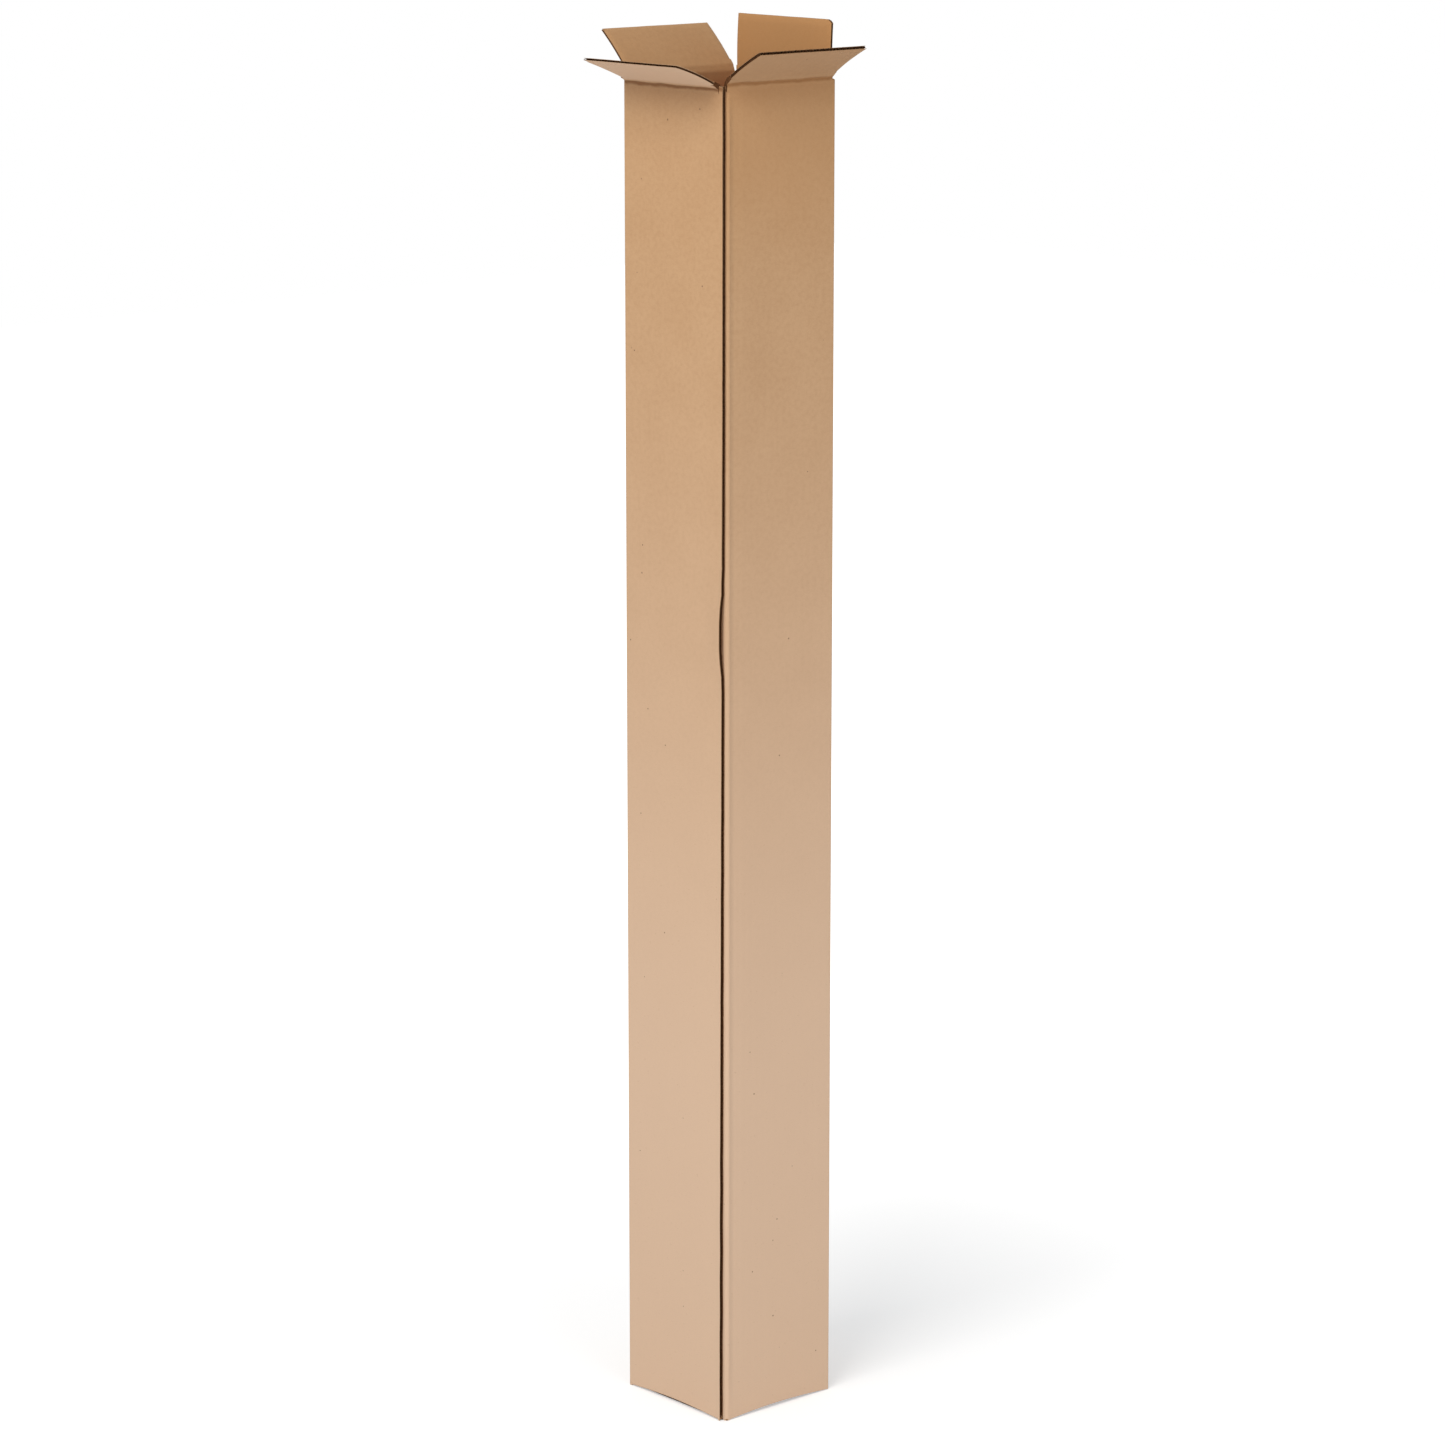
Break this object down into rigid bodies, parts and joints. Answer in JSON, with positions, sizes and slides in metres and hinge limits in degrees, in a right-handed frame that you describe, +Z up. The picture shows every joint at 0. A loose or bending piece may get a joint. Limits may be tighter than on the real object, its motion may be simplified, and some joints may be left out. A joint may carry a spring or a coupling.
{
  "type": "long shipping box",
  "caption": "Tall square corrugated carton with its top flaps open, for posting or storing long, slim goods.",
  "frame": {"origin": "on the floor, in the middle of the plan of the carton with its flaps as they stand", "axes": "+Z up along the tube, -Y out of the front panel, +X out of the right panel; the glued corner is between these two"},
  "size_m": [0.214, 0.1874, 1.2855],
  "materials": {
    "kraft_board": "matt unbleached kraft liner, brown all through"
  },
  "bodies": {
    "carton": {"carton_body": "kraft_board"},
    "front_flap": {"top_flap_front": "kraft_board"},
    "back_flap": {"top_flap_back": "kraft_board"},
    "left_flap": {"top_flap_left": "kraft_board"},
    "right_flap": {"top_flap_right": "kraft_board"},
    "bottom_left": {"bottom_flap_left": "kraft_board"},
    "bottom_right": {"bottom_flap_right": "kraft_board"}
  },
  "joints": [
    {"name": "front_flap_fold", "type": "hinge", "parent": "carton", "child": "front_flap", "pos_m": [-0.00477, -0.04329, 1.23138], "axis": [-1, 0, 0], "range_deg": [-106, 159]},
    {"name": "back_flap_fold", "type": "hinge", "parent": "carton", "child": "back_flap", "pos_m": [-0.00477, 0.09187, 1.23138], "axis": [1, 0, 0], "range_deg": [-173, 92]},
    {"name": "left_flap_fold", "type": "hinge", "parent": "carton", "child": "left_flap", "pos_m": [-0.07235, 0.02429, 1.23568], "axis": [0, 1, 0], "range_deg": [-135, 130]},
    {"name": "right_flap_fold", "type": "hinge", "parent": "carton", "child": "right_flap", "pos_m": [0.06281, 0.02429, 1.23568], "axis": [0, -1, 0], "range_deg": [-120, 145]},
    {"name": "bottom_left_fold", "type": "hinge", "parent": "carton", "child": "bottom_left", "pos_m": [-0.07235, 0.02429, -0.00008], "axis": [0, 1, 0], "range_deg": [0, 265]},
    {"name": "bottom_right_fold", "type": "hinge", "parent": "carton", "child": "bottom_right", "pos_m": [0.06281, 0.02429, -0.00008], "axis": [0, -1, 0], "range_deg": [0, 265]}
  ]
}
